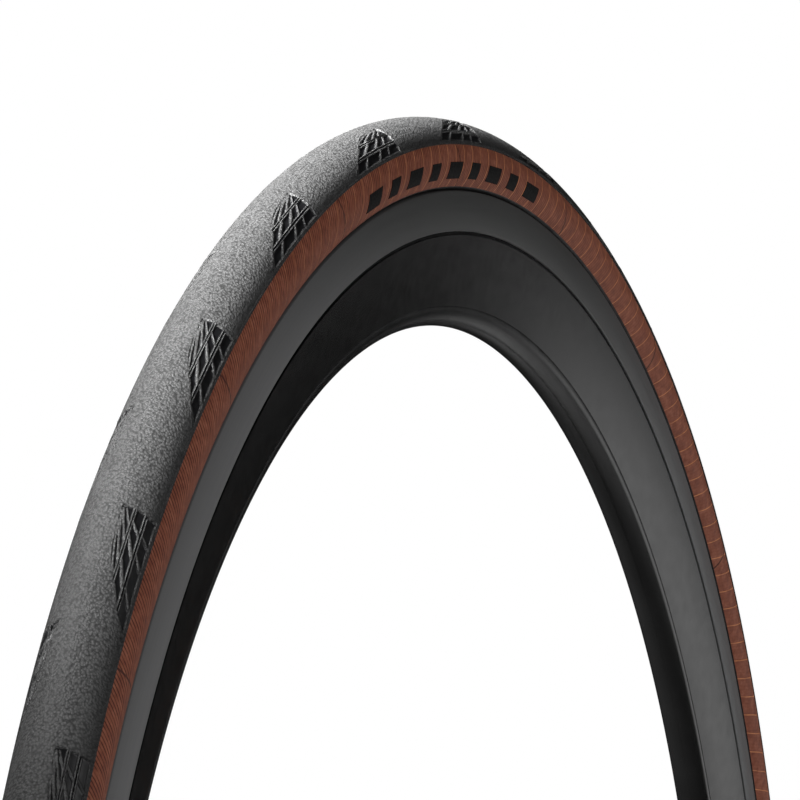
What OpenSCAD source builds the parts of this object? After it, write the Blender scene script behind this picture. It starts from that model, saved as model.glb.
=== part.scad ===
/* [Tire] */
// Radius of the tread at its crown
tire_crown_r = 336; // [335:0.5:337]
// Section radius of the tread cap
tread_section_r = 11; // [10.9:0.05:11.1]
// Section radius of the coated casing
casing_section_r = 11.45; // [11.4:0.05:11.5]
// Thickness of each fabric layer
ply_t = 0.4; // [0.35:0.01:0.45]
// Wall of the inner tube
tube_t = 0.6; // [0.5:0.05:0.7]
// Tread pattern clusters on each shoulder
cluster_count = 30; // [20:1:36]
// Depth of the pattern pockets
pocket_depth = 0.45; // [0.3:0.05:0.6]

/* [Rim] */
// Outer half width at the top of the flange
flange_half_w = 9.7; // [9.5:0.1:10]
// Outer half width where hoop and fairing meet
joint_half_w = 10.25; // [10:0.05:10.5]
// Radius where hoop and fairing meet
joint_r = 304.6; // [303:0.1:306]
// Half width of the nose
nose_half_w = 5.35; // [4.8:0.05:6]
// Radius at the centre of the nose curve
nose_r = 284.2; // [282:0.1:288]
// Wall of the fairing
fairing_wall = 1.5; // [1.2:0.1:1.8]

/* [Valve] */
// Radius of the threaded stem
stem_r = 3; // [2.9:0.05:3.1]
// Distance from the wheel centre to the stem's end
stem_end_r = 258; // [254:1:262]
// Radius of the lock ring
ring_r = 5.2; // [4.8:0.1:6]
// Radius of the valve pin
pin_r = 0.7; // [0.6:0.05:0.8]
// Running clearance on radius
run_gap = 0.06; // [0.04:0.01:0.1]

/* [Hidden] */
$fn = 96;
bead_seat_r = 311;
tread_c = tire_crown_r - tread_section_r;
case_c = tire_crown_r - 13.1;
low_a = 32;
edge_a = 28;
belt_a = 46;
label_t = 0.2;
bond_depth = 0.1;
bond_line = 0.15;
hole_r = stem_r + 0.3;
tape_r = 308.8;
tube_floor_r = tape_r + tube_t;
nose_end_r = nose_r - nose_half_w;
well_r = tape_r - 0.6;
// Inner face of the rim flange, shared with the tire's bead
seat_line = [[bead_seat_r, 8], [313.9, 8], [314.5, 7.5], [315.3, 7.5], [315.8, 7.85]];
// Heights along the valve, measured as distances from the wheel centre
core_low_r = stem_end_r + 10;
core_top_r = stem_end_r - 4.8;
nut_low_r = core_top_r - 2;
nut_top_r = nut_low_r - 3.2;
pin_top_r = nut_top_r - 2;

// Section coordinates are [radius, offset]; a positive offset is the -Y side.
function ray(d, a) = [
  case_c + (casing_section_r - d) * sin(a),
  (casing_section_r - d) * cos(a)
];
function fair_w(r) = nose_half_w + (r - nose_r) * (joint_half_w - nose_half_w) / (joint_r - nose_r);
function well_w(r) = 4.2 + (r - well_r) * 0.16;
function bar_w(k) = k % 2 == 0 ? 2.4 : 0.6;
function flip(p) = [for (i = [len(p) - 1:-1:0]) [p[i][0], -p[i][1]]];

module around() {
  rotate([90, 0, 0])
    rotate_extrude($fn = 180)
      children();
}

module at_side(side) {
  if (side > 0)
    children();
  else
    mirror([0, 1])
      children();
}

module case_disc(d) {
  translate([case_c, 0])
    circle(r = casing_section_r - d);
}

// Everything below the two rays where the sidewalls turn in to the beads
module below_rays(a) {
  polygon([
    [case_c, 0],
    [case_c + 40 * sin(a), 40 * cos(a)],
    [case_c - 60, 40 * cos(a)],
    [case_c - 60, -40 * cos(a)],
    [case_c + 40 * sin(a), -40 * cos(a)]
  ]);
}

module layer(d0, d1) {
  difference() {
    case_disc(d0);
    case_disc(d1);
    below_rays(-low_a);
  }
}

module half(side) {
  at_side(side)
    translate([200, 0])
      square([200, 60]);
}

// ---- tire -------------------------------------------------------------
module tread_section() {
  difference() {
    translate([tread_c, 0])
      circle(r = tread_section_r);
    case_disc(0);
    below_rays(edge_a);
  }
}

// Outline of one pattern cluster, x along the tire, y towards the edge
module cluster_outline() {
  polygon([
    [18, 4.65], [-18, 4.65], [-12, 1.63], [-11, 1.2], [-6.5, -1.63],
    [-2, -2.2], [6, -4], [12, -4.6], [18, -4.65]
  ]);
}

module pocket_tools() {
  for (side = [-1, 1])
    for (i = [0:cluster_count - 1])
      rotate([0, -5.3 + (i + (side > 0 ? 0 : 0.5)) * 360 / cluster_count, 0])
        translate([0, 0, tread_c])
          rotate([side * 41.5, 0, 0])
            translate([0, 0, tread_section_r - 3])
              linear_extrude(height = 5)
                at_side(-side)
                  cluster_outline();
}

module tread() {
  color([0.05, 0.05, 0.055])
    difference() {
      around()
        tread_section();
      difference() {
        pocket_tools();
        around()
          translate([tread_c, 0])
            circle(r = tread_section_r - pocket_depth);
      }
      // Shallow bonding recesses under the clusters, where the rubber keys to the casing
      intersection() {
        pocket_tools();
        around()
          case_disc(-bond_depth);
      }
    }
}

module breaker_belt() {
  color([0.75, 0.7, 0.55])
    around()
      difference() {
        case_disc(0);
        case_disc(ply_t);
        below_rays(belt_a);
      }
}

module sidewall_skin(side) {
  color([0.45, 0.27, 0.21])
    around()
      intersection() {
        difference() {
          layer(0, ply_t);
          difference() {
            translate([case_c, -30])
              square([60, 60]);
            below_rays(belt_a);
          }
        }
        half(side);
      }
}

module casing_turnup(side) {
  color([0.68, 0.48, 0.3])
    union() {
      around()
        intersection() {
          layer(ply_t, 2 * ply_t);
          half(side);
        }
      around()
        at_side(side)
          polygon([
            ray(2 * ply_t, -low_a), [315.85, 6.6], [311.8, 6.6], [311.8, 7],
            [315.6, 7], ray(ply_t, -low_a), ray(1.5 * ply_t, 2 - low_a)
          ]);
    }
}

module casing_ply() {
  color([0.66, 0.46, 0.28])
    union() {
      around()
        layer(2 * ply_t, 3 * ply_t);
      for (side = [-1, 1])
        around()
          at_side(side)
            polygon([
              ray(3 * ply_t, -low_a), [315.25, 4.25], [311.4, 4.25], [311.4, 7], [311.8, 7],
              [311.8, 4.65], [314.95, 4.65], ray(2 * ply_t, -low_a), ray(2.5 * ply_t, 2 - low_a)
            ]);
    }
}

// A pressed bundle of strands with clipped corners
module bead_core(side) {
  color([0.85, 0.72, 0.25])
    around()
      at_side(side)
        polygon([
          [311.8, 5], [311.8, 6.25], [312.2, 6.6], [313.2, 6.6],
          [313.6, 6.25], [313.6, 5], [313.2, 4.65], [312.2, 4.65]
        ]);
}

module bead_filler(side) {
  color([0.12, 0.12, 0.12])
    around()
      at_side(side)
        polygon([
          [313.6, 5], [313.6, 6.25], [313.2, 6.6], [315.85, 6.6],
          ray(2 * ply_t, -low_a), [314.95, 4.65], [313.2, 4.65]
        ]);
}

module chafer(side) {
  color([0.07, 0.07, 0.07])
    around()
      at_side(side)
        polygon(concat(
          [[311.4, 4.25], [bead_seat_r, 4.25]],
          seat_line,
          [[316.05, 8.2], [316.3, 9], ray(0, -low_a), ray(ply_t, -low_a), [315.6, 7], [311.4, 7]]
        ));
}

// Plain slanted bars, in three groups around the sidewall
module label_tools(side) {
  for (g = [0:2])
    for (k = [-4:4])
      rotate([0, -7 + 120 * g + 3 * k, 0])
        translate([0, -side * 10, 321.2])
          rotate([90, 0, 0])
            translate([0, 0, -6])
              linear_extrude(height = 12)
                polygon([
                  [-4.2 - bar_w(k), -2.3], [bar_w(k) + 1.8, -2.3],
                  [bar_w(k) + 4.2, 2.3], [-1.8 - bar_w(k), 2.3]
                ]);
}

module label(side) {
  color([0.08, 0.07, 0.07])
    intersection() {
      around()
        intersection() {
          layer(-label_t, 0);
          half(side);
        }
      label_tools(side);
    }
}

// ---- inner tube and rim -----------------------------------------------
module closed_tube(d, a, low) {
  around()
    difference() {
      case_disc(d);
      below_rays(a);
    }
  around()
    polygon(concat(low, [ray(d, a), [case_c + 2, 0]], flip(concat(low, [ray(d, a)]))));
}

// A round bar along the valve, between two distances from the wheel centre
module bar(r, from, to) {
  translate([0, 0, -max(from, to)])
    cylinder(r = r, h = abs(from - to));
}

module inner_tube() {
  d = 3 * ply_t;
  color([0.09, 0.09, 0.1])
    difference() {
      closed_tube(d, -low_a, [
        [tape_r, well_w(tape_r)], [bead_seat_r, well_w(bead_seat_r)],
        [bead_seat_r, 4.25], [315.25, 4.25]
      ]);
      closed_tube(d + tube_t, 2 - low_a, [
        [tube_floor_r, well_w(tape_r) - tube_t], [311.2, 3.65], [315.4, 3.65]
      ]);
      bar(stem_r, 320, 300);
    }
}

module rim_tape() {
  color([0.75, 0.62, 0.2])
    difference() {
      around()
        polygon([
          [well_r, -well_w(well_r)], [tape_r, -well_w(tape_r)],
          [tape_r, well_w(tape_r)], [well_r, well_w(well_r)]
        ]);
      bar(hole_r, 320, 300);
    }
}

module rim_hoop() {
  inside = fairing_wall + 0.9;
  edge = concat(
    [[well_r, well_w(well_r)], [bead_seat_r, well_w(bead_seat_r)]],
    seat_line,
    [
      [315.8, flange_half_w - 0.5], [315.4, flange_half_w], [joint_r, joint_half_w],
      [joint_r, joint_half_w - fairing_wall - 0.06], [300, fair_w(300) - fairing_wall - 0.06],
      [300, fair_w(300) - inside], [joint_r + 0.9, joint_half_w - inside],
      [309.4, 8.3], [309.4, 6], [306.8, 5.4]
    ]
  );
  color([0.3, 0.3, 0.31])
    difference() {
      around()
        polygon(concat(edge, flip(edge)));
      bar(hole_r, 320, 300);
    }
}

module fairing_shape(wall, top = joint_r) {
  side = [
    [nose_r - 1.5, nose_half_w - wall - 0.45],
    [nose_r, nose_half_w - wall - 0.02],
    [top, fair_w(top) - wall]
  ];
  around()
    polygon(concat(side, flip(side)));
  around()
    translate([nose_r, 0])
      circle(r = nose_half_w - wall);
}

module rim_fairing() {
  color([0.05, 0.05, 0.055])
    difference() {
      fairing_shape(0, joint_r - bond_line);
      fairing_shape(fairing_wall);
      for (side = [-1, 1])
        around()
          at_side(side)
            translate([joint_r - 1, joint_half_w - 0.7])
              square([2, 2]);
      bar(hole_r, 290, 270);
    }
}

// ---- valve, at the lowest point of the wheel ---------------------------
// A slab that follows the tube's floor, cut to a round pad
module floor_pad(pad_r, half_w, low, high) {
  intersection() {
    bar(pad_r, high + 4, low - 4);
    rotate([90, 0, 0])
      difference() {
        cylinder(r = high, h = 2 * half_w, center = true, $fn = 180);
        cylinder(r = low, h = 2 * half_w + 2, center = true, $fn = 180);
      }
  }
}

module knurl(r, tooth_r, n, from, to) {
  for (i = [0:n - 1])
    rotate([0, 0, i * 360 / n])
      translate([r, 0, 0])
        bar(tooth_r, from, to);
}

module valve_patch() {
  color([0.1, 0.1, 0.1])
    difference() {
      floor_pad(8, 3.5, tube_floor_r, tube_floor_r + 0.8);
      bar(stem_r, 320, 300);
    }
}

module valve_stem() {
  color([0.72, 0.72, 0.7])
    difference() {
      union() {
        bar(stem_r, tube_floor_r + 1, stem_end_r);
        floor_pad(4.5, 3.4, tube_floor_r + 0.8, tube_floor_r + 1.4);
      }
      bar(2, 320, core_low_r - 1);
      bar(2.3, core_low_r, stem_end_r - 1);
    }
}

module valve_o_ring() {
  color([0.04, 0.04, 0.04])
    translate([0, 0, 0.6 - nose_end_r])
      rotate_extrude()
        translate([stem_r + 0.7, 0])
          circle(r = 0.6, $fn = 32);
}

module valve_lock_ring() {
  low = nose_end_r - 1.5;
  color([0.7, 0.7, 0.68])
    difference() {
      union() {
        bar(ring_r, low, low - 3);
        translate([0, 0, 3 - low])
          cylinder(r1 = ring_r, r2 = ring_r - 1, h = 1);
      }
      bar(stem_r + run_gap, low + 1, low - 6);
      knurl(ring_r + 0.2, 0.5, 20, low + 1, low - 6);
    }
}

module valve_core_body() {
  color([0.75, 0.66, 0.38])
    difference() {
      union() {
        bar(2.3, core_low_r, stem_end_r);
        intersection() {
          bar(2.75, stem_end_r, stem_end_r - 2.4);
          translate([-2.4, -4, -stem_end_r - 1])
            cube([4.8, 8, 6]);
        }
        bar(2, stem_end_r, core_top_r);
      }
      bar(pin_r + run_gap, 280, 240);
    }
}

module valve_pin() {
  color([0.8, 0.72, 0.42])
    union() {
      bar(pin_r, core_low_r + 4.5, pin_top_r);
      bar(pin_r + 0.4, pin_top_r + 0.5, pin_top_r);
    }
}

module valve_pin_seal() {
  color([0.06, 0.06, 0.06])
    difference() {
      bar(1.6, core_low_r + 2.6, core_low_r + 0.3);
      bar(pin_r, 280, 260);
    }
}

module valve_core_nut() {
  color([0.78, 0.7, 0.4])
    difference() {
      bar(2.2, nut_low_r, nut_top_r);
      bar(pin_r + run_gap, 260, 240);
      knurl(2.35, 0.3, 14, nut_low_r + 1, nut_top_r - 1);
    }
}

module valve_cap() {
  color([0.06, 0.06, 0.065])
    difference() {
      union() {
        bar(4.1, stem_end_r + 6.5, stem_end_r - 7);
        translate([0, 0, 7 - stem_end_r])
          cylinder(r1 = 4.1, r2 = 2.6, h = 8);
      }
      bar(stem_r + run_gap, stem_end_r + 7.5, core_top_r - 0.3);
      bar(2.55, core_top_r, pin_top_r - 0.8);
      knurl(4.45, 0.6, 12, stem_end_r + 7.5, stem_end_r - 5);
    }
}

tread();
breaker_belt();
casing_ply();
casing_turnup(-1);  // casing_turnup_left
casing_turnup(1);  // casing_turnup_right
bead_filler(-1);  // bead_filler_left
bead_filler(1);  // bead_filler_right
bead_core(-1);  // bead_core_left
bead_core(1);  // bead_core_right
chafer(-1);  // chafer_left
chafer(1);  // chafer_right
sidewall_skin(-1);  // sidewall_skin_left
sidewall_skin(1);  // sidewall_skin_right
label(-1);  // label_left
label(1);  // label_right
inner_tube();
rim_tape();
rim_hoop();
rim_fairing();
valve_patch();
valve_stem();
valve_o_ring();
valve_lock_ring();
valve_core_body();
valve_pin();
valve_pin_seal();
valve_core_nut();
valve_cap();
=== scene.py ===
import math

import bpy
import numpy as np
from mathutils import Matrix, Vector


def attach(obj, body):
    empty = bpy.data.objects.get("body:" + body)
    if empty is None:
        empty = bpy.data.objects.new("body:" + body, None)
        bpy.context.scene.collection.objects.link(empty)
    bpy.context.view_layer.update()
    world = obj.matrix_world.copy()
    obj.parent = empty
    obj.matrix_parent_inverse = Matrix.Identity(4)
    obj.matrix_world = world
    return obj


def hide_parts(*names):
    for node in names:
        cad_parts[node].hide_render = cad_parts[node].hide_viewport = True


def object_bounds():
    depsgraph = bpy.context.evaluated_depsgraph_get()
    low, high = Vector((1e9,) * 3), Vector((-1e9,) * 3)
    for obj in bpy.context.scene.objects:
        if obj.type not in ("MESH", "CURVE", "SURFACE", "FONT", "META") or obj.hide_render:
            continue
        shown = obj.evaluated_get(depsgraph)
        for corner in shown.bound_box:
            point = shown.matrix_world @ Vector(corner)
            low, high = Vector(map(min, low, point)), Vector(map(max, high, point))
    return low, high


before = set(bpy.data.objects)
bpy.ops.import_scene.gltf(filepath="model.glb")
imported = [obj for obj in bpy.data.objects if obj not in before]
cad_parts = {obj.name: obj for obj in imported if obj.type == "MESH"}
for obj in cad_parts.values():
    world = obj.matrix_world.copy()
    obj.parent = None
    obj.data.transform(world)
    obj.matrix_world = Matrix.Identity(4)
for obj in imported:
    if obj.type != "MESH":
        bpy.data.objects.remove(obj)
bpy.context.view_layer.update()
BODY = "tire_on_rim"
MM = 0.001

# Section sizes in millimetres and section angles in degrees, as in part.scad
TREAD_C = 325.0
TREAD_R = 11.0
CASE_C = 322.9
CASE_R = 11.45
PLY = 0.4
EDGE_A = 28.0
LOW_A = 32.0
BELT_A = 46.0
JOINT_R = 304.6
JOINT_W = 10.25
NOSE_R = 284.2
NOSE_W = 5.35
WALL = 1.5
CLUSTERS = 30

# The UV map is in millimetres: along the ring by the first, across the section by the second
ARC = 5.7
ACROSS = math.radians(1) * TREAD_R
TURN = 360 * ARC * MM
# Section angle, from the crown, where the pattern ends
PATTERN_END = 66.5


# ---- meshes ------------------------------------------------------------
def build(name, verts, faces, us, vs, mats, face_mat=None, sharp=40.0):
    """faces is a list of int arrays (m, k); us and vs hold one value for each corner, in millimetres."""
    me = bpy.data.meshes.new(name)
    idx = np.concatenate([f.ravel() for f in faces]).astype(np.int32)
    tot = np.concatenate([np.full(len(f), f.shape[1]) for f in faces]).astype(np.int32)
    start = np.concatenate([[0], np.cumsum(tot)[:-1]]).astype(np.int32)
    me.vertices.add(len(verts))
    me.vertices.foreach_set("co", (np.asarray(verts) * MM).astype(np.float32).ravel())
    me.loops.add(len(idx))
    me.loops.foreach_set("vertex_index", idx)
    me.polygons.add(len(tot))
    me.polygons.foreach_set("loop_start", start)
    me.polygons.foreach_set("loop_total", tot)
    if face_mat is not None:
        me.polygons.foreach_set("material_index", np.asarray(face_mat, dtype=np.int32))
    uv = me.uv_layers.new(name="UVMap")
    flat = np.stack([np.concatenate([u.ravel() for u in us]), np.concatenate([v.ravel() for v in vs])], 1)
    uv.data.foreach_set("uv", (flat * MM).astype(np.float32).ravel())
    me.update(calc_edges=True)
    me.validate()
    me.polygons.foreach_set("use_smooth", np.ones(len(me.polygons), dtype=bool))
    me.set_sharp_from_angle(angle=math.radians(sharp))
    for m in mats:
        me.materials.append(m)
    ob = bpy.data.objects.new(name, me)
    bpy.context.scene.collection.objects.link(ob)
    return ob


class Rings:
    """Rings of points round the axle. Neighbouring rings share columns, or one of the two has more."""

    def __init__(self):
        self.rings = []

    def add(self, th, r, y, v, mark=None):
        th = np.asarray(th, float)
        r = np.broadcast_to(np.asarray(r, float), th.shape)
        y = np.broadcast_to(np.asarray(y, float), th.shape)
        mark = np.zeros(len(th)) if mark is None else mark
        self.rings.append((th, r, y, v, mark))

    def make(self, name, mats, closed=True, sharp=40.0):
        verts, base, n = [], [], 0
        for th, r, y, v, mark in self.rings:
            t = np.radians(th)
            verts.append(np.stack([r * np.sin(t), y, r * np.cos(t)], 1))
            base.append(n)
            n += len(th)
        faces, us, vs, fm = [], [], [], []
        pairs = [(i, i + 1) for i in range(len(self.rings) - 1)]
        if closed:
            pairs.append((len(self.rings) - 1, 0))
        for a, b in pairs:
            tha, ra, _, va, ma = self.rings[a]
            thb, rb, _, vb, mb = self.rings[b]
            if b == 0:
                vb = va + 1.0
            if len(tha) == len(thb):
                i = np.arange(len(tha))
                j = (i + 1) % len(tha)
                tj = np.where(j == 0, tha[0] + 360.0, tha[j])
                faces.append(np.stack([base[a] + i, base[a] + j, base[b] + j, base[b] + i], 1))
                us.append(np.stack([tha, tj, tj, tha], 1) * ARC)
                vs.append(np.stack([i * 0 + va, i * 0 + va, i * 0 + vb, i * 0 + vb], 1))
                m4 = np.stack([ma[i], ma[j], mb[j], mb[i]], 1)
                fm.append((m4.mean(1) > 0.5).astype(int))
                continue
            flip = len(tha) < len(thb)
            if flip:
                dense, coarse, bd, bc, vd, vc = thb, tha, base[b], base[a], vb, va
            else:
                dense, coarse, bd, bc, vd, vc = tha, thb, base[a], base[b], va, vb
            at = np.searchsorted(dense, coarse - 1e-6)
            ends = np.append(at[1:], at[0] + len(dense))
            groups = {}
            for k in range(len(coarse)):
                groups.setdefault(int(ends[k] - at[k]), []).append(k)
            for size, ks in groups.items():
                ks = np.array(ks)
                d = at[ks][:, None] + np.arange(size + 1)[None, :]
                td = dense[d % len(dense)] + 360.0 * (d // len(dense))
                kc = np.stack([(ks + 1), ks], 1)
                tc = coarse[kc % len(coarse)] + 360.0 * (kc // len(coarse))
                f = np.concatenate([bd + d % len(dense), bc + kc % len(coarse)], 1)
                u = np.concatenate([td, tc], 1) * ARC
                v = np.concatenate([td * 0 + vd, tc * 0 + vc], 1)
                if flip:
                    f, u, v = f[:, ::-1], u[:, ::-1], v[:, ::-1]
                faces.append(f)
                us.append(u)
                vs.append(v)
                fm.append(np.zeros(len(ks), int))
        return build(name, np.concatenate(verts), faces, us, vs, mats, np.concatenate(fm), sharp)


def lathe(name, profile, mats, n=1440, sharp=35.0):
    """A closed section of (radius, y) points, turned round the axle."""
    rg = Rings()
    th = np.arange(n) * 360.0 / n
    v = 0.0
    for k, (r, y) in enumerate(profile):
        if k:
            v += math.hypot(r - profile[k - 1][0], y - profile[k - 1][1])
        rg.add(th, r, y, v)
    return rg.make(name, mats, True, sharp)


def on_body(ob, node):
    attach(ob, BODY)
    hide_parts(node)


# ---- materials ---------------------------------------------------------
def material(name, color, rough, metal=0.0, spec=0.5):
    m = bpy.data.materials.new(name)
    m.use_nodes = True
    b = m.node_tree.nodes["Principled BSDF"]
    b.inputs["Base Color"].default_value = (*color, 1)
    b.inputs["Roughness"].default_value = rough
    b.inputs["Metallic"].default_value = metal
    b.inputs["Specular IOR Level"].default_value = spec
    return m, m.node_tree, b


def coords(nt, kind="Object", scale=(1, 1, 1), rot=(0, 0, 0)):
    tc = nt.nodes.new("ShaderNodeTexCoord")
    mp = nt.nodes.new("ShaderNodeMapping")
    mp.inputs["Scale"].default_value = scale
    mp.inputs["Rotation"].default_value = rot
    nt.links.new(tc.outputs[kind], mp.inputs["Vector"])
    return mp.outputs["Vector"]


def noise(nt, vec, scale, detail=3.0, rough=0.55):
    n = nt.nodes.new("ShaderNodeTexNoise")
    n.inputs["Scale"].default_value = scale
    n.inputs["Detail"].default_value = detail
    n.inputs["Roughness"].default_value = rough
    nt.links.new(vec, n.inputs["Vector"])
    return n.outputs["Fac"]


def math_node(nt, op, a, b=None, c=None, clamp=False):
    n = nt.nodes.new("ShaderNodeMath")
    n.operation = op
    n.use_clamp = clamp
    for k, x in enumerate((a, b, c)):
        if x is None:
            continue
        if isinstance(x, (int, float)):
            n.inputs[k].default_value = x
        else:
            nt.links.new(x, n.inputs[k])
    return n.outputs[0]


def ramp(nt, fac, stops):
    n = nt.nodes.new("ShaderNodeValToRGB")
    cr = n.color_ramp
    while len(cr.elements) < len(stops):
        cr.elements.new(0.5)
    for e, (p, c) in zip(cr.elements, stops):
        e.position = p
        e.color = (*c, 1) if len(c) == 3 else c
    nt.links.new(fac, n.inputs["Fac"])
    return n.outputs["Color"]


def grey(v):
    return (v, v, v)


def mix(nt, fac, a, b):
    n = nt.nodes.new("ShaderNodeMix")
    n.data_type = "RGBA"
    for sock, x in ((n.inputs[0], fac), (n.inputs[6], a), (n.inputs[7], b)):
        if isinstance(x, tuple):
            sock.default_value = (*x, 1)
        elif isinstance(x, float):
            sock.default_value = x
        else:
            nt.links.new(x, sock)
    return n.outputs[2]


def bump(nt, bsdf, height, strength, dist):
    n = nt.nodes.new("ShaderNodeBump")
    n.inputs["Strength"].default_value = strength
    n.inputs["Distance"].default_value = dist
    nt.links.new(height, n.inputs["Height"])
    nt.links.new(n.outputs["Normal"], bsdf.inputs["Normal"])


def times(nt, a, b):
    n = nt.nodes.new("ShaderNodeVectorMath")
    n.operation = "MULTIPLY"
    nt.links.new(a, n.inputs[0])
    nt.links.new(b, n.inputs[1])
    return n.outputs["Vector"]


def uv_axes(nt):
    """The UV map's two axes, along the ring and across the section."""
    sep = nt.nodes.new("ShaderNodeSeparateXYZ")
    nt.links.new(coords(nt, "UV"), sep.inputs[0])
    return sep.outputs["X"], sep.outputs["Y"]


def tread_material():
    m, nt, b = material("tread_rubber", (0.05, 0.05, 0.051), 0.55, spec=0.3)
    v = coords(nt)
    peb = nt.nodes.new("ShaderNodeTexVoronoi")
    peb.feature = "SMOOTH_F1"
    peb.inputs["Scale"].default_value = 1500
    peb.inputs["Smoothness"].default_value = 0.5
    nt.links.new(v, peb.inputs["Vector"])
    fine = noise(nt, v, 3200, 2.0)
    wide = noise(nt, v, 60, 3.0)
    h = math_node(nt, "ADD", math_node(nt, "MULTIPLY", peb.outputs["Distance"], -0.9),
                  math_node(nt, "MULTIPLY", fine, 0.5))
    bump(nt, b, h, 0.8, 0.00035)
    tone = ramp(nt, wide, [(0.3, grey(0.044)), (0.7, grey(0.058))])
    # Painted shade: base colour darkened in the hollows between pebbles, down to 0.3 at the cell edges
    pebble_gap_shade = ramp(nt, peb.outputs["Distance"], [(0.3, grey(1.0)), (0.7, grey(0.3))])
    # Painted shade: base colour darkened towards both shoulders of the tread, down to 0.28 near the
    # pattern's edge
    across = uv_axes(nt)[1]
    side = math_node(nt, "DIVIDE", math_node(nt, "ABSOLUTE", across), PATTERN_END * ACROSS * MM)
    shoulder_shade = ramp(nt, side, [(0.62, grey(1.0)), (0.95, grey(0.28))])
    nt.links.new(times(nt, times(nt, tone, pebble_gap_shade), shoulder_shade), b.inputs["Base Color"])
    nt.links.new(ramp(nt, fine, [(0.3, grey(0.48)), (0.7, grey(0.64))]), b.inputs["Roughness"])
    return m


def pocket_material():
    m, nt, b = material("tread_pocket", (0.004, 0.004, 0.0045), 0.35, spec=0.25)
    v = coords(nt)
    n = noise(nt, v, 900, 3.0)
    bump(nt, b, n, 0.35, 0.0001)
    nt.links.new(ramp(nt, n, [(0.35, grey(0.28)), (0.7, grey(0.44))]), b.inputs["Roughness"])
    return m


def skin_material():
    """Brown coating over threads: close dark ones on one leg of the ring, sparse light ones on the other."""
    m, nt, b = material("sidewall_skin", (0.158, 0.055, 0.033), 0.6, spec=0.12)
    along, across = uv_axes(nt)
    obj = coords(nt)
    sway = math_node(nt, "SUBTRACT", noise(nt, obj, 160, 2.0), 0.5)
    lean = math_node(nt, "MULTIPLY_ADD", across, -0.62, along)
    lean = math_node(nt, "MULTIPLY_ADD", sway, 0.5 * MM, lean)

    def from_middle(x):
        return math_node(nt, "ABSOLUTE", math_node(nt, "SUBTRACT", math_node(nt, "FRACT", x), 0.5))

    def threads(count, width, shift=0.0):
        d = from_middle(math_node(nt, "MULTIPLY_ADD", lean, count / TURN, shift))
        return math_node(nt, "SUBTRACT", 1.0, math_node(nt, "DIVIDE", d, width, clamp=True), clamp=True)

    def leg(at, low, high):
        """One round the angle given, and weak on the other side of the ring."""
        a = math_node(nt, "MULTIPLY_ADD", along, 2 * math.pi / TURN, -math.radians(at))
        lobe = math_node(nt, "MULTIPLY_ADD", math_node(nt, "COSINE", a), 0.5, 0.5)
        return ramp(nt, lobe, [(low, grey(0.12)), (high, grey(1.0))])

    close = threads(1560, 0.3)
    sparse = threads(290, 0.036, 0.13)
    grain = noise(nt, coords(nt, "UV", (500, 90, 1)), 1.0, 3.0)
    streak = ramp(nt, grain, [(0.3, grey(0.3)), (0.55, grey(1.0))])
    mottle = noise(nt, obj, 420, 4.0, 0.65)
    brown = [(0.3, (0.14, 0.04, 0.023)), (0.5, (0.2, 0.064, 0.037)), (0.72, (0.27, 0.1, 0.062))]
    base = ramp(nt, mottle, brown)
    dark = math_node(nt, "MULTIPLY", math_node(nt, "MULTIPLY", close, streak), leg(-55, 0.55, 0.85))
    base = mix(nt, dark, base, (0.018, 0.005, 0.003))
    light = math_node(nt, "MULTIPLY", math_node(nt, "MULTIPLY", sparse, streak), leg(75, 0.25, 0.6))
    base = mix(nt, light, base, (0.62, 0.25, 0.1))
    vents = 21
    first_vent = 57.7 / 360
    gap = from_middle(math_node(nt, "MULTIPLY_ADD", along, vents / TURN, first_vent * vents + 0.5))
    vent = math_node(nt, "LESS_THAN", gap, 0.0034)
    base = mix(nt, math_node(nt, "MULTIPLY", vent, 0.8), base, (0.03, 0.012, 0.01))
    nt.links.new(base, b.inputs["Base Color"])
    h = math_node(nt, "MULTIPLY_ADD", sparse, 0.8, math_node(nt, "MULTIPLY", mottle, 0.5))
    h = math_node(nt, "MULTIPLY_ADD", close, -0.35, h)
    bump(nt, b, h, 0.5, 0.0001)
    nt.links.new(ramp(nt, mottle, [(0.3, grey(0.55)), (0.7, grey(0.7))]), b.inputs["Roughness"])
    return m


def band_material():
    """Brake track: anodised and brushed, with darker streaky stretches centred at the top of the ring and
    every 120 degrees round from it.
    """
    m, nt, b = material("brake_track", (0.055, 0.055, 0.056), 0.5, spec=0.3)
    brush = noise(nt, coords(nt, "UV", (9, 2400, 1)), 1.0, 4.0, 0.7)
    stretches = 3
    turn = math_node(nt, "MULTIPLY", uv_axes(nt)[0], stretches * 2 * math.pi / TURN)
    dark_stretch_lobe = math_node(nt, "MULTIPLY_ADD", math_node(nt, "COSINE", turn), 0.5, 0.5)
    amount = ramp(nt, dark_stretch_lobe, [(0.35, grey(0.0)), (0.9, grey(1.0))])
    streak = mix(nt, brush, (0.0, 0.0, 0.0), (0.07, 0.071, 0.07))
    nt.links.new(mix(nt, amount, (0.085, 0.085, 0.086), streak), b.inputs["Base Color"])
    nt.links.new(ramp(nt, brush, [(0.3, grey(0.46)), (0.7, grey(0.58))]), b.inputs["Roughness"])
    bump(nt, b, brush, 0.12, 0.00005)
    return m


def fairing_material():
    m, nt, b = material("fairing", (0.0035, 0.0035, 0.004), 0.24, spec=0.12)
    v = coords(nt)
    n = noise(nt, v, 260, 4.0)
    nt.links.new(ramp(nt, n, [(0.3, grey(0.22)), (0.75, grey(0.27))]), b.inputs["Roughness"])
    tone = ramp(nt, noise(nt, v, 30, 3.0), [(0.3, grey(0.0015)), (0.8, grey(0.003))])
    nt.links.new(tone, b.inputs["Base Color"])
    bump(nt, b, n, 0.02, 0.00002)
    return m


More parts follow.
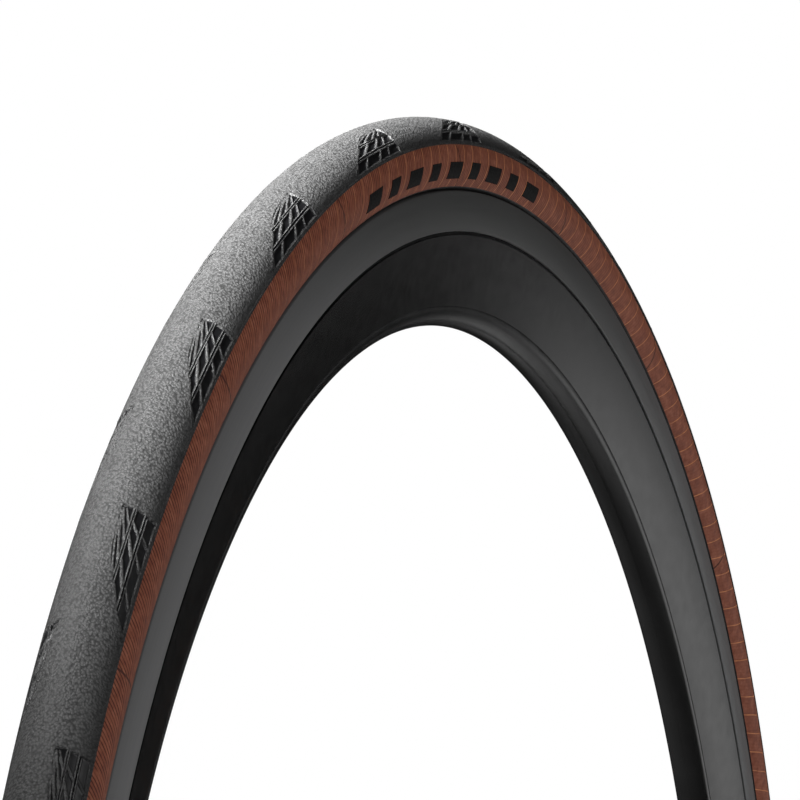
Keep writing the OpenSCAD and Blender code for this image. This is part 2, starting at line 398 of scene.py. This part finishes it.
def rubber_material(name, base, rough, scale=700, spec=0.5):
    m, nt, b = material(name, grey(base), rough, spec=spec)
    n = noise(nt, coords(nt), scale, 3.0)
    nt.links.new(ramp(nt, n, [(0.3, grey(base * 0.7)), (0.7, grey(base * 1.3))]), b.inputs["Base Color"])
    nt.links.new(ramp(nt, n, [(0.3, grey(rough - 0.07)), (0.7, grey(rough + 0.07))]), b.inputs["Roughness"])
    bump(nt, b, n, 0.25, 0.00012)
    return m


def metal_material(name, color, rough):
    m, nt, b = material(name, color, rough, 1.0)
    v = coords(nt, "Object", (1, 1, 6))
    n = noise(nt, v, 1400, 3.0)
    nt.links.new(ramp(nt, n, [(0.3, grey(rough - 0.08)), (0.7, grey(rough + 0.1))]), b.inputs["Roughness"])
    wear = noise(nt, coords(nt), 500, 3.0)
    tone = ramp(nt, wear, [(0.35, tuple(c * 0.72 for c in color)), (0.65, color)])
    nt.links.new(tone, b.inputs["Base Color"])
    bump(nt, b, n, 0.1, 0.00004)
    return m


def woven_material(name, color, pitch):
    m, nt, b = material(name, color, 0.75)
    w = nt.nodes.new("ShaderNodeTexWave")
    w.inputs["Scale"].default_value = pitch
    w.inputs["Distortion"].default_value = 1.5
    nt.links.new(coords(nt, "Object", (1, 1, 1), (0.6, 0.5, 0.7)), w.inputs["Vector"])
    nt.links.new(ramp(nt, w.outputs["Fac"], [(0.2, tuple(c * 0.55 for c in color)), (0.8, color)]),
                 b.inputs["Base Color"])
    bump(nt, b, w.outputs["Fac"], 0.4, 0.0002)
    return m


TREAD = tread_material()
POCKET = pocket_material()
SKIN = skin_material()
BAND = band_material()
FAIR = fairing_material()
CHAFER = rubber_material("chafer_rubber", 0.004, 0.55, 700, 0.25)
INK = rubber_material("label_ink", 0.0022, 0.6, 1500, 0.06)
BUTYL = rubber_material("butyl", 0.02, 0.55)
SEAL = rubber_material("seal_rubber", 0.012, 0.4)
CAP = rubber_material("cap_plastic", 0.014, 0.36, 1800)
NICKEL = metal_material("nickel", (0.62, 0.61, 0.58), 0.28)
BRASS = metal_material("brass", (0.72, 0.55, 0.26), 0.3)
CLOTH = woven_material("casing_threads", (0.42, 0.26, 0.14), 900)
BELT = woven_material("breaker_weave", (0.5, 0.44, 0.3), 700)
ARAMID = woven_material("aramid_strands", (0.6, 0.42, 0.1), 1200)
TAPE = woven_material("rim_tape_weave", (0.55, 0.4, 0.1), 600)

for names, mat in (
    (("casing_ply", "casing_turnup_left", "casing_turnup_right"), CLOTH),
    (("breaker_belt",), BELT),
    (("bead_core_left", "bead_core_right"), ARAMID),
    (("bead_filler_left", "bead_filler_right", "inner_tube", "valve_patch"), BUTYL),
    (("rim_tape",), TAPE),
    (("valve_o_ring", "valve_pin_seal"), SEAL),
    (("valve_lock_ring",), NICKEL),
    (("valve_core_body", "valve_pin", "valve_core_nut"), BRASS),
    (("valve_cap",), CAP),
):
    for n in names:
        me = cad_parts[n].data
        me.materials.clear()
        me.materials.append(mat)

# ---- tread -------------------------------------------------------------
# Depth of the pockets, degrees from one cluster to the next, and where the first one leads
DEPTH = 0.45
PITCH = 360 / CLUSTERS
LEAD = -2.2
# A cluster's points: millimetres back from its leading edge, then degrees away from the crown
OUTLINE = [(0.6, 66.5), (36.6, 66.5), (35.0, 62.0), (30.3, 50.5), (29.9, 48.6), (23.0, 34.2), (22.2, 32.4),
           (19.4, 26.6), (15.6, 21.6), (11.0, 18.2), (6.0, 16.4), (0.2, 15.6), (-0.2, 16.4)]
# Each rib has half its flat width, then the points that it runs through
RIBS = [
    (0.06, [(35.5, 66.0), (30.0, 66.0)]), (0.06, [(27.5, 66.0), (16.6, 66.0)]),
    (0.06, [(15.4, 66.0), (9.9, 66.0)]), (0.06, [(8.6, 66.0), (1.3, 66.0)]),
    (0.05, [(30.0, 47.6), (0.5, 48.2)]), (0.07, [(29.9, 51.4), (1.0, 51.8)]),
    (0.05, [(22.6, 31.6), (0.2, 32.2)]), (0.07, [(22.9, 34.8), (0.3, 35.2)]),
    (0.3, [(34.6, 64.2), (31.2, 52.4)]), (0.3, [(27.2, 64.4), (22.9, 52.4)]),
    (0.3, [(16.0, 64.2), (12.6, 52.4)]), (0.22, [(8.6, 64.2), (6.6, 52.4)]),
    (0.32, [(29.6, 47.0), (23.4, 36.0)]), (0.3, [(22.8, 47.0), (15.8, 35.8)]),
    (0.3, [(13.8, 47.2), (8.4, 35.8)]), (0.2, [(7.2, 47.4), (4.2, 36.0)]),
    (0.16, [(21.2, 30.8), (17.6, 26.6), (12.0, 21.6), (4.6, 17.4)]),
    (0.24, [(15.6, 31.0), (12.0, 26.6), (7.6, 22.0), (1.8, 17.6)]),
    (0.2, [(9.8, 31.4), (7.2, 27.4), (4.2, 22.8), (0.9, 18.8)]),
    (0.12, [(4.8, 31.6), (3.2, 27.6), (0.8, 22.6)]),
]


def seg_dist(px, py, a, b):
    """Distance in millimetres from the points to the stretch between a and b of a cluster's drawing."""
    dx = b[0] - a[0]
    dy = (b[1] - a[1]) * ACROSS
    qx = px - a[0]
    qy = py - a[1] * ACROSS
    t = np.clip((qx * dx + qy * dy) / (dx * dx + dy * dy), 0, 1)
    return np.hypot(qx - t * dx, qy - t * dy)


def smooth(t):
    t = np.clip(t, 0, 1)
    return t * t * (3 - 2 * t)


def cluster_height(x, phi):
    """Height over the plain tread in millimetres, and how much of the point is pocket floor."""
    wall = 0.28
    rib_slope = 0.22
    lip_high = 0.05
    lip_wide = 0.35
    y = phi * ACROSS
    near = np.full(x.shape, 1e9)
    inside = np.zeros(x.shape, bool)
    for a, b in zip(OUTLINE, OUTLINE[1:] + OUTLINE[:1]):
        near = np.minimum(near, seg_dist(x, y, a, b))
        ay = a[1] * ACROSS
        by = b[1] * ACROSS
        cross = (ay > y) != (by > y)
        with np.errstate(divide="ignore", invalid="ignore"):
            at = a[0] + (y - ay) * (b[0] - a[0]) / (by - ay)
        inside ^= cross & (x < at)
    sink = np.where(inside, smooth(near / wall), 0.0)
    rib = np.zeros(x.shape)
    for wide, line in RIBS:
        for a, b in zip(line[:-1], line[1:]):
            rib = np.maximum(rib, 1 - smooth((seg_dist(x, y, a, b) - wide) / rib_slope))
    lip = np.where(inside, 0.0, lip_high * np.exp(-((near / lip_wide) ** 2)))
    return -DEPTH * sink + (DEPTH - 0.02) * rib * sink + lip, sink * (1 - rib)


def columns(shift):
    """Angles round the ring: half degrees, and eighteenths of a degree where this shoulder has a cluster."""
    fine = 135
    out = []
    for k in range(CLUSTERS):
        start = shift - 9.0 + PITCH * k
        out += [start + i / 18.0 for i in range(fine)]
        out += [start + fine / 18.0 + 0.5 * i for i in range(9)]
    return np.round(np.sort(np.mod(np.array(out) + 1e-9, 360.0)), 6)


COARSE = np.arange(720) * 0.5
# The tread's edge, EDGE_A up the casing and just outside its coating
EDGE_R = 11.83
EDGE_PHI = 90.0 - math.degrees(math.atan2(CASE_C + EDGE_R * math.sin(math.radians(EDGE_A)) - TREAD_C,
                                          EDGE_R * math.cos(math.radians(EDGE_A))))
# The far shoulder's clusters reach less far up
FAR_SHRINK = 1.135


def ridge(p, at, wide, high):
    return high * math.exp(-(((p - at) / wide) ** 2))


def shoulder(side):
    """Rings from the crown's edge to the tread's edge, with the clusters in them."""
    shift = 0.0 if side < 0 else PITCH / 2
    th = columns(shift)
    rows = [*np.arange(14.0, 68.01, 1.0), *np.arange(68.5, 71.0, 0.4), EDGE_PHI]
    back = np.mod(LEAD + shift - th + 0.5, PITCH) - 0.5
    made = []
    for p in rows:
        a = math.radians(p)
        x = back * math.radians(1) * (TREAD_C + TREAD_R * math.cos(a))
        q = p if side < 0 else PATTERN_END - (PATTERN_END - p) * FAR_SHRINK
        h, mark = cluster_height(x, np.full(x.shape, q))
        R = TREAD_R + h + ridge(p, 70.3, 0.35, 0.10) + ridge(p, 69.0, 0.3, 0.07)
        made.append((th, TREAD_C + R * math.cos(a), side * R * math.sin(a), side * p * ACROSS, mark))
    return made


def tread():
    rg = Rings()
    for ring in reversed(shoulder(-1)):
        rg.add(*ring)
    for p in np.arange(-12.0, 12.1, 2.0):
        a = math.radians(p)
        rg.add(COARSE, TREAD_C + TREAD_R * math.cos(a), TREAD_R * math.sin(a), p * ACROSS)
    for ring in shoulder(1):
        rg.add(*ring)
    for p in np.linspace(90 - EDGE_A, EDGE_A - 90, 17):
        a = math.radians(p)
        rg.add(COARSE, CASE_C + CASE_R * math.cos(a), CASE_R * math.sin(a), 20 + (62 - p) * ACROSS)
    return rg.make("tread_cap", [TREAD, POCKET], True, 55.0)


on_body(tread(), "tread")


# ---- sidewalls, labels and chafers --------------------------------------
def case_pt(side, psi, d=0.0):
    a = math.radians(psi)
    return CASE_C + (CASE_R - d) * math.sin(a), side * (CASE_R - d) * math.cos(a)


def skin(side, node):
    rg = Rings()
    th = np.arange(1440) * 0.25
    order = list(np.linspace(-LOW_A, 90 - BELT_A, 40))
    outer = [case_pt(side, p) + (p * 0.2,) for p in order]
    inner = [case_pt(side, p, PLY) + (p * 0.2,) for p in np.linspace(90 - BELT_A, -LOW_A, 12)]
    ring = outer + inner
    if side > 0:
        ring = ring[::-1]
    for r, y, v in ring:
        rg.add(th, r, y, v)
    return on_body(rg.make(node + "_coat", [SKIN]), node)


# Plain bars in place of lettering, as in part.scad: wide and narrow by turns, in groups of nine
LABEL_R = 321.2
LABEL_HALF = 2.3
LABEL_GROUPS = 3
LABEL_START = -7
LABEL_STEP = 3


def bar_layer(k, group, side, depth, cells):
    """One face of a bar: a slanted patch laid on the casing's curve, depth inside its coating."""
    half = 2.4 if k % 2 == 0 else 0.6
    s, t = np.meshgrid(np.linspace(0, 1, cells[0]), np.linspace(0, 1, cells[1]), indexing="ij")
    x0 = -4.2 - half + 2.4 * t
    x1 = half + 1.8 + 2.4 * t
    x = x0 + (x1 - x0) * s
    z = LABEL_R - LABEL_HALF + 2 * LABEL_HALF * t
    th = math.radians(LABEL_START + 360 / LABEL_GROUPS * group + LABEL_STEP * k) + np.arctan2(x, z)
    rad = np.hypot(x, z)
    y = side * np.sqrt((CASE_R - depth) ** 2 - (rad - CASE_C) ** 2)
    return np.stack([rad * np.sin(th), y, rad * np.cos(th)], -1).reshape(-1, 3)


def label(side, node):
    nx = 14
    ny = 6
    i, j = np.meshgrid(np.arange(nx - 1), np.arange(ny - 1), indexing="ij")
    patch = np.stack([i * ny + j, (i + 1) * ny + j, (i + 1) * ny + j + 1, i * ny + j + 1], -1).reshape(-1, 4)
    rim = np.array([a * ny for a in range(nx)]
                   + [(nx - 1) * ny + b for b in range(1, ny)]
                   + [a * ny + ny - 1 for a in range(nx - 2, -1, -1)]
                   + [b for b in range(ny - 2, 0, -1)])
    after = np.roll(rim, -1)
    verts, faces, flat = [], [], []
    for group in range(LABEL_GROUPS):
        for k in range(-4, 5):
            top = len(verts) * nx * ny
            low = top + nx * ny
            verts += [bar_layer(k, group, side, depth, (nx, ny)) for depth in (-0.12, 0.05)]
            wall = np.stack([top + rim, low + rim, low + after, top + after], 1)
            for f in (patch + top, patch[:, ::-1] + low, wall):
                faces.append(f if side < 0 else f[:, ::-1])
                flat.append(np.zeros(f.shape))
    on_body(build(node + "_bars", np.concatenate(verts), faces, flat, flat, [INK]), node)


def mirrored(points, side):
    pts = [(r, side * a) for r, a in points]
    return pts if side > 0 else pts[::-1]


# The rim flange's inner face, where the bead sits
SEAT_R = 311.0
SEAT = [(SEAT_R, 8.0), (313.9, 8.0), (314.5, 7.5), (315.3, 7.5), (315.8, 7.85)]
CHAFER_SECTION = [(311.4, 4.25), (SEAT_R, 4.25), *SEAT, (316.05, 8.2), (316.3, 9.0),
                  case_pt(1, -LOW_A), case_pt(1, -LOW_A, PLY), (315.6, 7.0), (311.4, 7.0)]
for side, tag in ((-1, "right"), (1, "left")):
    skin(side, "sidewall_skin_" + tag)
    label(side, "label_" + tag)
    on_body(lathe("chafer_strip_" + tag, mirrored(CHAFER_SECTION, side), [CHAFER]), "chafer_" + tag)


# ---- rim ---------------------------------------------------------------
WELL_R = 308.2


def fair_w(r):
    return NOSE_W + (r - NOSE_R) * (JOINT_W - NOSE_W) / (JOINT_R - NOSE_R)


def well_w(r):
    return 4.2 + (r - WELL_R) * 0.16


def hoop_section():
    """Well, bead seat, flange and brake track, then the tongue inside the fairing and the hollow."""
    tongue = WALL + 0.9
    half = [(WELL_R, well_w(WELL_R)), (SEAT_R, well_w(SEAT_R)), *SEAT,
            (315.8, 9.05), (315.72, 9.35), (315.55, 9.6), (315.3, 9.71),
            (305.0, 10.23), (304.75, 10.18), (JOINT_R, 10.0), (JOINT_R, JOINT_W - WALL),
            (300.0, fair_w(300) - WALL), (300.0, fair_w(300) - tongue), (JOINT_R + 0.9, JOINT_W - tongue),
            (309.4, 8.3), (309.4, 6.0), (306.8, 5.4)]
    return half + [(r, -a) for r, a in reversed(half)]


def fairing_section():
    """Outer face with a stepped joint at the top and a round nose, then the inner face of the nose."""
    step = JOINT_R - 1.0
    end = 0.06
    flank = [(JOINT_R, fair_w(JOINT_R) - WALL), (JOINT_R, JOINT_W - 0.7), (step, JOINT_W - 0.7),
             (step, fair_w(step) - 0.12), (step - 0.06, fair_w(step) - 0.04),
             (step - 0.2, fair_w(step - 0.2)),
             (NOSE_R + 0.25, fair_w(NOSE_R + 0.25)), (NOSE_R, NOSE_W - 0.01)]
    turn = np.linspace(end, math.pi - end, 40)
    nose = [(NOSE_R - NOSE_W * math.sin(t), NOSE_W * math.cos(t)) for t in turn]
    w = NOSE_W - WALL
    inner = [(NOSE_R - w * math.sin(t), -w * math.cos(t)) for t in np.linspace(0, math.pi, 16)]
    return flank + nose + [(r, -a) for r, a in reversed(flank)] + inner


on_body(lathe("rim_brake_hoop", hoop_section(), [BAND], sharp=30), "rim_hoop")
on_body(lathe("rim_fairing_shell", fairing_section(), [FAIR], sharp=12), "rim_fairing")


# ---- valve stem with its thread ------------------------------------------
def stem():
    """A tube with a plain foot and a rolled thread, from its foot up towards the wheel's centre."""
    foot = -309.4
    thread_from = 24.0
    length = 51.2
    thread_pitch = 0.8
    thread_depth = 0.34
    bore = 2.31
    around = 56
    heights = np.concatenate([[0.0, 0.0], np.linspace(0, thread_from, 16),
                              np.linspace(thread_from + 0.01, length - 0.2, 340), [length]])
    ang = np.arange(around) * 2 * math.pi / around

    def ring(r, z):
        return np.stack([r * np.cos(ang), r * np.sin(ang), np.full(around, foot + z)], 1)

    verts = []
    for k, z in enumerate(heights):
        r = 2.95
        if z > thread_from:
            ph = np.mod(z / thread_pitch - ang / (2 * math.pi), 1.0)
            r = 2.98 - thread_depth * np.abs(ph - 0.5) * 2 * smooth((z - thread_from) / thread_pitch)
            r = r - 0.12 * smooth((z - length + 1.0) / 0.8)
        if k == 0 or z == length:
            r = bore + 0.01
        verts.append(ring(r, z))
    verts += [ring(bore, z) for z in (length - 0.2, 0.1)]
    m = len(verts)
    i, j = np.meshgrid(np.arange(m), np.arange(around), indexing="ij")
    ni = (i + 1) % m
    nj = (j + 1) % around
    f = np.stack([i * around + j, i * around + nj, ni * around + nj, ni * around + j], -1).reshape(-1, 4)
    flat = np.zeros(f.shape)
    return build("valve_stem_threaded", np.concatenate(verts), [f], [flat], [flat], [NICKEL], None, 50)


on_body(stem(), "valve_stem")

# ---- stage, lights and camera ---------------------------------------------
FLOOR_HALF = 7.0
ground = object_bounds()[0][2]
fm = bpy.data.meshes.new("floor")
corners = [(x * FLOOR_HALF, y * FLOOR_HALF, ground) for x, y in ((-1, -1), (1, -1), (1, 1), (-1, 1))]
fm.from_pydata(corners, [], [(0, 1, 2, 3)])
floor = bpy.data.objects.new("floor", fm)
bpy.context.scene.collection.objects.link(floor)
mf, ntf, bf = material("floor_pale", grey(0.66), 0.8)
shade = ramp(ntf, noise(ntf, coords(ntf), 3.0), [(0.3, grey(0.64)), (0.7, grey(0.68))])
ntf.links.new(shade, bf.inputs["Base Color"])
fm.materials.append(mf)

world = bpy.data.worlds.new("studio")
bpy.context.scene.world = world
world.use_nodes = True
wt = world.node_tree
bg = wt.nodes["Background"]
bg.inputs["Color"].default_value = (1, 1, 1, 1)
lp = wt.nodes.new("ShaderNodeLightPath")
wt.links.new(math_node(wt, "ADD", math_node(wt, "MULTIPLY", lp.outputs["Is Camera Ray"], 0.992), 0.008),
             bg.inputs["Strength"])


def area(name, loc, target, size, power, spread):
    """A rectangular light at loc, facing target; watts, and the beam's spread in degrees."""
    li = bpy.data.lights.new(name, "AREA")
    li.shape = "RECTANGLE"
    li.size, li.size_y = size
    li.energy = power
    li.spread = math.radians(spread)
    ob = bpy.data.objects.new(name, li)
    bpy.context.scene.collection.objects.link(ob)
    z = np.array(loc, float) - np.array(target, float)
    z /= np.linalg.norm(z)
    x = np.cross((0, 0, 1.0), z)
    x /= np.linalg.norm(x)
    y = np.cross(z, x)
    ob.matrix_world = Matrix([[x[i], y[i], z[i], loc[i]] for i in range(3)] + [[0, 0, 0, 1]])


area("fill_right", (-0.7, -2.4, 0.5), (0, 0, 0.1), (2.2, 2.2), 18, 110)
area("key_left", (-0.75, 0.33, 0.72), (0.10, 0, 0.40), (0.35, 0.35), 14, 42)
area("key_top", (-0.2, 0.6, 1.9), (0, 0, 0.0), (1.0, 0.7), 3, 70)
area("strip_right", (1.58, -1.04, 0.1), (0.2, 0, 0.2), (0.55, 0.6), 0.28, 60)
area("fill_far", (0.2, 2.6, 0.1), (0, 0, 0), (2.0, 1.6), 5, 110)

# The camera looks along HEADING, measured from +X towards +Y, and RISE up, turned by ROLL
LENS = 276.1426
EYE = (-1.6124672, -0.5407290, 0.1338381)
HEADING = 19.0787
RISE = 4.2048
ROLL = 1.0422
cam = bpy.data.cameras.new("camera")
cam.sensor_width = 36.0
cam.lens = LENS
cam.clip_start = 0.05
cam.clip_end = 60.0
co = bpy.data.objects.new("camera", cam)
bpy.context.scene.collection.objects.link(co)
aim = Matrix.Rotation(math.radians(HEADING - 90), 4, "Z") @ Matrix.Rotation(math.radians(90 + RISE), 4, "X")
co.matrix_world = Matrix.Translation(EYE) @ aim @ Matrix.Rotation(math.radians(ROLL), 4, "Z")
bpy.context.scene.camera = co
bpy.context.scene.view_settings.view_transform = "Standard"
bpy.context.scene.view_settings.look = "None"
